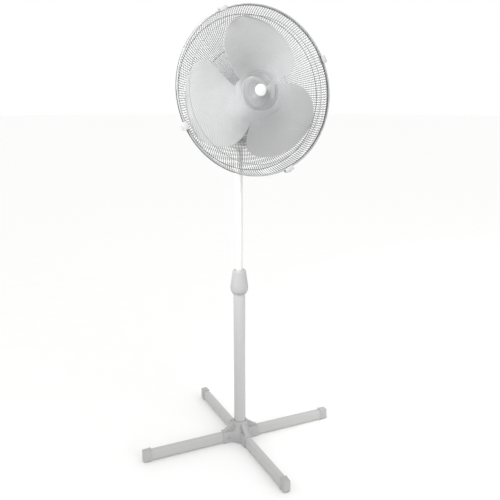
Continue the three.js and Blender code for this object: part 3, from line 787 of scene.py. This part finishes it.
link = {"low": 23.6, "high": 26.2, "halfWidth": 3.5, "bore": 2.7, "eye": 6.4, "pinBore": 6.6, "pinEye": 9.6,
        "edge": 0.4}


# Pressed steel link: a bar between the small eye on the post and the wide eye round the crank pin.
def makeLink():
    anchor = Vector(crank["anchor"])
    pin = Vector(crank["centre"]) + Vector((crank["throw"], 0))
    reach = (pin - anchor).length
    low, high, half, edge = link["low"], link["high"], link["halfWidth"], link["edge"]
    bm = roundedBlock((5, -half, low), (reach - 7.5, half, high), edge, 2)
    for bore, eye, x in ((link["bore"], link["eye"], 0), (link["pinBore"], link["pinEye"], reach)):
        steps = 40 if x == 0 else 48
        ring = turned([(bore, low), (eye, low, edge), (eye, high, edge), (bore, high)], steps, closed=True)
        addTo(bm, ring, shiftBy(x, 0, 0))
    swing = math.atan2(pin.y - anchor.y, pin.x - anchor.x)
    place = headPlace @ shiftBy(anchor.x, anchor.y, 0) @ Matrix.Rotation(swing, 4, "Z")
    newPiece("swingLink", bm, zincSteel, ["link_arm"], place=place)


# Nylon crank disc with its pin below, and the spindle up to the toothed wheel.
def makeCrank():
    disc, spindle, pinRadius = crank["disc"], crank["spindle"], crank["pin"]
    bm = turned([(0, 27.6), (disc, 27.6, 0.4), (disc, 30.2, 0.4), (spindle, 30.2), (spindle, 100, 0.5),
                 (0, 100)])
    pin = turned([(0, 22.8), (pinRadius, 22.8, 0.4), (pinRadius, 28), (0, 28)], steps=24)
    addTo(bm, pin, shiftBy(crank["throw"], 0, 0))
    wheel = turned([(2.9, 84), (8, 84, 0.3), (8, 90, 0.3), (2.9, 90)], steps=crank["teeth"] * 4, closed=True)
    flute(wheel, crank["teeth"], crank["toothDepth"], crank["toothInside"])
    addTo(bm, wheel)
    newPiece("crankSpindle", bm, nylonNatural, ["crank_spindle"], place=crankPlace)


clutchFlutes = {"count": 18, "depth": 0.5, "inside": 8.5, "low": 146, "high": 156.5}
crankPlace = headPlace @ shiftBy(*crank["centre"], 0)


# Pull knob of the swivel clutch, fluted round its waist.
def makeClutchKnob():
    bm = turned([(0, 104), (2.5, 104, 0.4), (2.5, 143.5), (7.6, 143.5, 0.8), (9, 145.6, 1), (9, 156, 1.4),
                 (7.4, 158.6, 1), (0, 159.4)], steps=72)
    flute(bm, **clutchFlutes)
    newPiece("clutchPullKnob", bm, greyPolypropylene, ["clutch_knob"], place=crankPlace)


makeYoke()
makeTiltBlock()
makeTiltKnob()
makeTiltBolt()
makeLink()
makeCrank()
makeClutchKnob()
print("tilt joint ready")


motor = {"wall": 2.2, "slotHalf": 18, "slotHeight": 3.2, "slotPitch": 10, "slots": 5,
         "swivelHole": 14, "crankHole": 6.5, "rodHole": 3.3}


# Slotted housing behind the guard, with openings for the swivel, the crank and the clutch rod.
def makeMotorRear():
    bm = turned([(0, -80), (25, -78.2, 12), (40, -70, 10), (50, -58, 9), (56, -45, 9), (58, -30, 9),
                 (58, 42, 0.8), (57, 43)], steps=120)
    piece = newPiece("motorRearShell", bm, whiteAbs, ["motor_rear_cover"], place=shaftPlace, sharp=28)
    thicken(piece, motor["wall"])
    settle(piece)
    cutters = []
    for k in range(motor["slots"]):
        height = (k - (motor["slots"] - 1) / 2) * motor["slotPitch"]
        half, thick = motor["slotHalf"], motor["slotHeight"] / 2
        slot = plateOf(rectangle(-half, half, height - thick, height + thick, thick * 0.98), -90, -60)
        bmesh.ops.transform(slot, matrix=shaftPlace, verts=slot.verts)
        cutters.append(slot)
    for radius, place, low, high in ((motor["swivelHole"], headPlace, 20, 60),
                                     (motor["crankHole"], crankPlace, 20, 60),
                                     (motor["rodHole"], crankPlace, 110, 150)):
        hole = turned([(0, low), (radius, low), (radius, high), (0, high)], steps=48)
        bmesh.ops.transform(hole, matrix=place, verts=hole.verts)
        cutters.append(hole)
    cutFrom(piece, cutters)


# Front half of the housing, with the neck that the guard and its nut sit on.
def makeMotorFront():
    bm = turned([(58, 43.4, 0.8), (58, 60, 6), (55, 68, 4), (51, 70, 2), (30, 70), (30, 85, 0.8),
                 (27, 85, 0.8), (27, 67.5), (50, 67.5), (52.8, 65), (55.6, 58), (55.6, 43.4)],
                steps=120, closed=True)
    newPiece("motorFrontShell", bm, whiteAbs, ["motor_front_cover"], place=shaftPlace)


makeMotorRear()
makeMotorFront()
print("motor ready")


# Each guard follows stations: (distance from the shaft, distance forward).
guard = {
    "front": [(14, 150), (90, 149), (150, 145), (190, 138.5), (212, 134), (219, 131)],
    "rear": [(50, 72), (110, 70.6), (170, 75), (203, 93), (215, 111), (219, 124)],
    "frontWires": 180, "rearWires": 200,
    "frontWire": 0.55, "rearWire": 0.85, "rimWire": 2.2, "supportWire": 0.9,  # radii
    "splitRadius": 46,  # two of three front wires start at this ring
    "spiral": 45,  # degrees between a front wire and the radius
    "innerRing": 1.8, "frontRing": 190, "rearRings": (125, 203), "rimSteps": 160,
}


# Smooth curve through stations: (distance, forward) at evenly spread steps of the distance.
def smoothPath(stations, steps):
    points = [Vector(station) for station in stations]
    points = [2 * points[0] - points[1], *points, 2 * points[-1] - points[-2]]
    path = []
    for k in range(1, len(points) - 2):
        a, b, c, d = points[k - 1:k + 3]
        for j in range(steps):
            t = j / steps
            path.append(0.5 * (2 * b + (c - a) * t + (2 * a - 5 * b + 4 * c - d) * t * t +
                               (3 * b - a - 3 * c + d) * t ** 3))
    return path + [points[-2]]


def forwardAt(path, radius):
    for near, far in zip(path, path[1:]):
        if near.x <= radius <= far.x:
            return near.y + (far.y - near.y) * (radius - near.x) / (far.x - near.x)
    return path[-1].y


# Support rings welded behind the wires.
def addSupports(bm, path, radii, wire):
    for radius in radii:
        forward = forwardAt(path, radius) - wire - guard["supportWire"]
        addTo(bm, wireRing(radius, forward, guard["supportWire"]))


# Fine silver wires swept in a spiral from the centre ring to the rim.
def makeFrontGuard():
    stations = guard["front"]
    path = smoothPath(stations, 4)
    inner, rim = stations[0], stations[-1]
    twist = math.tan(math.radians(guard["spiral"]))
    third = guard["frontWires"] // 3
    bm = bmesh.new()
    for start, shift in ((inner[0], 0), (guard["splitRadius"], 1 / 3), (guard["splitRadius"], 2 / 3)):
        points = []
        for radius, forward in path:
            if radius >= start - 0.01:
                angle = math.log(radius / inner[0]) * twist
                points.append(Vector((radius * math.cos(angle), radius * math.sin(angle), forward)))
        wires = wireAlong(points, guard["frontWire"], sides=4)
        bmesh.ops.rotate(wires, cent=(0, 0, 0), matrix=Matrix.Rotation(2 * math.pi * shift / third, 3, "Z"),
                         verts=wires.verts)
        placeRound(wires, third)
        addTo(bm, wires)
    addSupports(bm, path, (guard["splitRadius"], guard["frontRing"]), guard["frontWire"])
    addTo(bm, wireRing(*inner, guard["innerRing"], steps=64))
    addTo(bm, wireRing(*rim, guard["rimWire"], guard["rimSteps"], sides=10))
    newPiece("frontWireGuard", bm, silverWire, ["front_guard"], place=shaftPlace, sharp=60)


# Radial wires on three rings, from the mounting plate to the rim.
def makeRearGuard():
    stations = guard["rear"]
    path = smoothPath(stations, 4)
    rim = stations[-1]
    points = [Vector((radius, 0, forward)) for radius, forward in path]
    bm = wireAlong(points, guard["rearWire"], sides=4)
    placeRound(bm, guard["rearWires"])
    addSupports(bm, path, guard["rearRings"], guard["rearWire"])
    addTo(bm, wireRing(*rim, guard["rimWire"], guard["rimSteps"], sides=10))
    plate = turned([(30.4, 70.6, 0.4), (44, 70.6, 1.5), (47, 71.4, 1.5), (54, 71.4, 0.5), (54, 73.2, 0.5),
                    (46.6, 73.2, 1), (43.6, 73.4, 1), (30.4, 73.4, 0.4)], steps=96, closed=True)
    addTo(bm, plate)
    # The rear wires, their rim and the mounting plate take the darkened wire copy: painted shade.
    newPiece("rearWireGuard", bm, shadedRearWire, ["rear_guard"], place=shaftPlace, sharp=60)


guardNut = {"bore": 30.4, "radius": 44, "ribs": 36, "ribDepth": 1.1, "ribInside": 41}


# Round nut with grip ribs that holds the rear guard on the motor.
def makeGuardNut():
    bore, outer = guardNut["bore"], guardNut["radius"]
    bm = turned([(bore, 73.8), (outer, 73.8, 0.8), (outer, 79, 1.4), (outer - 2, 81, 0.8), (bore, 81, 0.8)],
                steps=144, closed=True)
    flute(bm, guardNut["ribs"], guardNut["ribDepth"], guardNut["ribInside"])
    newPiece("guardHandNut", bm, greyPolypropylene, ["guard_nut"], place=shaftPlace)


frontCap = {"plug": 11.9, "brim": 16, "low": 146, "brimLow": 152.1, "high": 155.5}


# Small blank domed cap in the middle of the front guard.
def makeFrontCap():
    plug, brim, low, high = frontCap["plug"], frontCap["brim"], frontCap["brimLow"], frontCap["high"]
    bm = turned([(0, frontCap["low"]), (plug, frontCap["low"], 0.5), (plug, low), (brim, low, 0.3),
                 (brim, high - 2, 0.5), (brim - 2.4, high - 0.7, 1), (6, high - 0.1), (0, high)], steps=72)
    newPiece("frontBlankCap", bm, bladeAbs, ["front_cap"], place=shaftPlace)


clip = {"reach": 10, "lip": 3, "wall": 2.4, "gap": 0.3, "edge": 0.6, "width": 20, "lockWidth": 24,
        "angles": (22.5, 112.5, 202.5), "lockAngle": 292.5, "screwLength": 4.2, "screwProud": 0.2}


# Sprung clip hooked over both rims.
def makeClip(name, node, degrees, width):
    rimRadius, frontRim = guard["front"][-1]
    rearRim = guard["rear"][-1][1]
    clear = guard["rimWire"] + clip["gap"]
    outer, inside, lip = rimRadius + clip["reach"], rimRadius + clear, rimRadius - clip["lip"]
    low, high = rearRim - clear, frontRim + clear
    wall = clip["wall"]
    bm = plateOf([(lip, low - wall, 0.9), (outer, low - wall, 2.6), (outer, high + wall, 2.6),
                  (lip, high + wall, 0.9), (lip, high, 0.9), (inside, high, 0.8), (inside, low, 0.8),
                  (lip, low, 0.9)], -width / 2, width / 2, clip["edge"])
    turn = Matrix.Rotation(math.radians(degrees), 4, "Z") @ toFront
    newPiece(name, bm, greyPolypropylene, [node], place=shaftPlace @ turn)


def makeLockScrew(degrees):
    rimRadius, frontRim = guard["front"][-1]
    middle = (guard["rear"][-1][1] + frontRim) / 2
    out = shiftBy(rimRadius + clip["reach"] + clip["screwProud"], 0, 0) @ toRight
    turn = Matrix.Rotation(math.radians(degrees), 4, "Z")
    place = shaftPlace @ shiftBy(0, 0, middle) @ turn @ out
    newPiece("lockClipScrew", panHead(clip["screwLength"]), zincSteel, ["guard_lock_screw"], place=place)


makeFrontGuard()
makeRearGuard()
makeGuardNut()
makeFrontCap()
for clipIndex, clipDegrees in enumerate(clip["angles"], 1):
    makeClip(f"rimClip_{clipIndex}", f"guard_clip_{clipIndex}", clipDegrees, clip["width"])
makeClip("rimLockClip", "guard_lock_clip", clip["lockAngle"], clip["lockWidth"])
makeLockScrew(clip["lockAngle"])
print("guards ready")


blade = {
    "count": 3, "tip": 198, "root": 40.4, "middle": 100, "rise": 38, "rootLoss": 19.5, "span": 103,
    "camber": 5, "thickness": 2.4, "nose": 0.5, "grid": 28, "bore": 4.3, "cup": 42,
    # degrees round the hub of the two edges, with what the root and the tip add or take
    "leading": 20, "leadRoot": 40, "leadTip": 75, "trailing": 125, "trailRoot": 26, "trailTip": 28,
}


# One broad petal: a grid laid between its leading and trailing edges, then pitched and cambered.
def makePetal():
    bm = bmesh.new()
    bmesh.ops.create_grid(bm, x_segments=blade["grid"], y_segments=blade["grid"], size=0.5)
    root, reachOut = blade["root"], blade["tip"] - blade["nose"] - blade["root"]
    for vert in bm.verts:
        across = vert.co.x + 0.5
        radius = root + reachOut * (1 - max(0, 0.5 - vert.co.y) ** 1.4)
        reach = radius / blade["tip"]
        leading = blade["leading"] + blade["leadRoot"] * (1 - reach) ** 3 + blade["leadTip"] * reach ** 10
        trailing = blade["trailing"] + blade["trailRoot"] * (1 - reach) ** 1.5
        trailing -= blade["trailTip"] * reach ** 6
        span = trailing - leading
        angle = math.radians(leading + span * across)
        rise = blade["rise"] - blade["rootLoss"] * (1 - reach) ** 3
        forward = blade["middle"] + rise * (across - 0.5) * span / blade["span"]
        forward -= blade["camber"] * reach * math.sin(math.pi * across)
        vert.co = Vector((radius * math.cos(angle), radius * math.sin(angle), forward)) * mm
    middle = sum(vert.co.z for vert in bm.verts) / len(bm.verts)
    bmesh.ops.solidify(bm, geom=bm.faces[:], thickness=blade["thickness"] * mm)
    shift = middle - sum(vert.co.z for vert in bm.verts) / len(bm.verts)
    bmesh.ops.translate(bm, vec=(0, 0, shift), verts=bm.verts)
    bmesh.ops.recalc_face_normals(bm, faces=bm.faces)
    bm.normal_update()
    upright = [e for e in bm.edges if abs((e.verts[0].co - e.verts[1].co).normalized().z) > 0.8]
    nose = bmesh.ops.subdivide_edges(bm, edges=upright, cuts=1)
    for vert, out in [(v, Vector((*v.normal.xy, 0)).normalized()) for v in vertsIn(nose["geom_inner"])]:
        vert.co += out * blade["nose"] * mm
    return bm


# Moulded impeller: three petals on a cup-shaped hub.
def makeImpeller():
    bore, cup = blade["bore"], blade["cup"]
    bm = turned([(bore, 85), (9, 85, 0.5), (9, 111), (26, 111.4), (36, 110, 2), (39.4, 105, 2), (39.4, 86),
                 (cup, 86, 0.8), (cup, 108, 4), (39, 114, 3), (30, 117, 2), (23.6, 117, 0.4), (23, 116.2),
                 (20.4, 116.2), (19.8, 117, 0.4), (bore, 117)], steps=108, closed=True)
    for k in range(blade["count"]):
        addTo(bm, makePetal(), Matrix.Rotation(2 * math.pi * k / blade["count"], 4, "Z"))
    newPiece("petalImpeller", bm, bladeAbs, ["impeller"], place=shaftPlace, sharp=40)


spinner = {
    "bore": 4.3, "radius": 19, "flutes": 8, "fluteDepth": 1.4, "fluteLow": 118.5, "fluteFade": 5,
    "fluteInside": 14,
}


# Domed hand nut on the end of the shaft, with grip flutes.
def makeSpinner():
    bore, outer = spinner["bore"], spinner["radius"]
    bm = turned([(0, 131.5), (bore, 131.5), (bore, 117.4), (outer, 117.4, 0.6), (outer, 123, 1.5),
                 (outer - 2, 131.6, 4), (10, 138, 4), (0, 140)], steps=96)
    low = spinner["fluteLow"]

    def flutes(radius, height, angle):
        if radius <= spinner["fluteInside"] or height <= low:
            return 0
        wave = max(0, math.cos(spinner["flutes"] * angle)) ** 6
        return spinner["fluteDepth"] * wave * min(1, (height - low) / spinner["fluteFade"])

    pressIn(bm, flutes)
    newPiece("spinnerNut", bm, bladeAbs, ["spinner"], place=shaftPlace)


makeImpeller()
makeSpinner()
print("impeller ready")


studio = {"floorColour": "#fdfdfd", "floorShade": "#fafaf9", "floorGrainMm": 3, "floorRadius": 30,
          "worldColour": "#ffffff", "worldStrength": 1.0}
# Place and aim in metres, width of the disc in metres, watts, and spread of the beam in degrees.
softLights = {
    "headLight": ((-1.15, -0.5, 1.95), (0, -0.1, 1.05), 0.7, 3.2, 34),
    "frontLight": ((1.1, -4.4, 1.9), (0, 0, 0.4), 2.6, 42, 180),
}


def makeFloor():
    bm = bmesh.new()
    bmesh.ops.create_circle(bm, cap_ends=True, segments=96, radius=studio["floorRadius"])
    floor = asObject("studioFloor", bm)
    vinyl = mouldedPlastic("paleFloorVinyl", studio["floorColour"], studio["floorShade"], 0.85,
                           studio["floorGrainMm"])
    floor.data.materials.append(vinyl)


def makeWorld():
    world = bpy.data.worlds.new("paleStudio")
    bpy.context.scene.world = world
    world.use_nodes = True
    background = world.node_tree.nodes["Background"]
    background.inputs["Color"].default_value = linear(studio["worldColour"])
    background.inputs["Strength"].default_value = studio["worldStrength"]


def makeSoftLight(name, place, aim, size, watts, spread):
    data = bpy.data.lights.new(name, "AREA")
    data.shape = "DISK"
    data.size = size
    data.energy = watts
    data.spread = math.radians(spread)
    light = bpy.data.objects.new(name, data)
    light.location = place
    light.rotation_euler = (Vector(aim) - Vector(place)).to_track_quat("-Z", "Y").to_euler()
    bpy.context.collection.objects.link(light)


# The camera stands to the left of the fan's front, at about the height of its head: angles in degrees,
# distance and height in metres, and the lens in mm.
view = {"azimuth": -24.15, "distance": 1.825, "height": 1.069, "pan": 1.0, "pitch": 13.94, "lens": 45.9}


def makeCamera():
    data = bpy.data.cameras.new("studioCamera")
    data.lens = view["lens"]
    data.sensor_width = 36
    camera = bpy.data.objects.new("studioCamera", data)
    azimuth = math.radians(view["azimuth"])
    distance = view["distance"]
    camera.location = (distance * math.sin(azimuth), -distance * math.cos(azimuth), view["height"])
    camera.rotation_euler = (math.radians(90 - view["pitch"]), 0, azimuth - math.radians(view["pan"]))
    bpy.context.collection.objects.link(camera)
    bpy.context.scene.camera = camera


bpy.context.scene.view_settings.view_transform = "Standard"
makeFloor()
makeWorld()
for lightName, lightSettings in softLights.items():
    makeSoftLight(lightName, *lightSettings)
makeCamera()
print("studio ready")
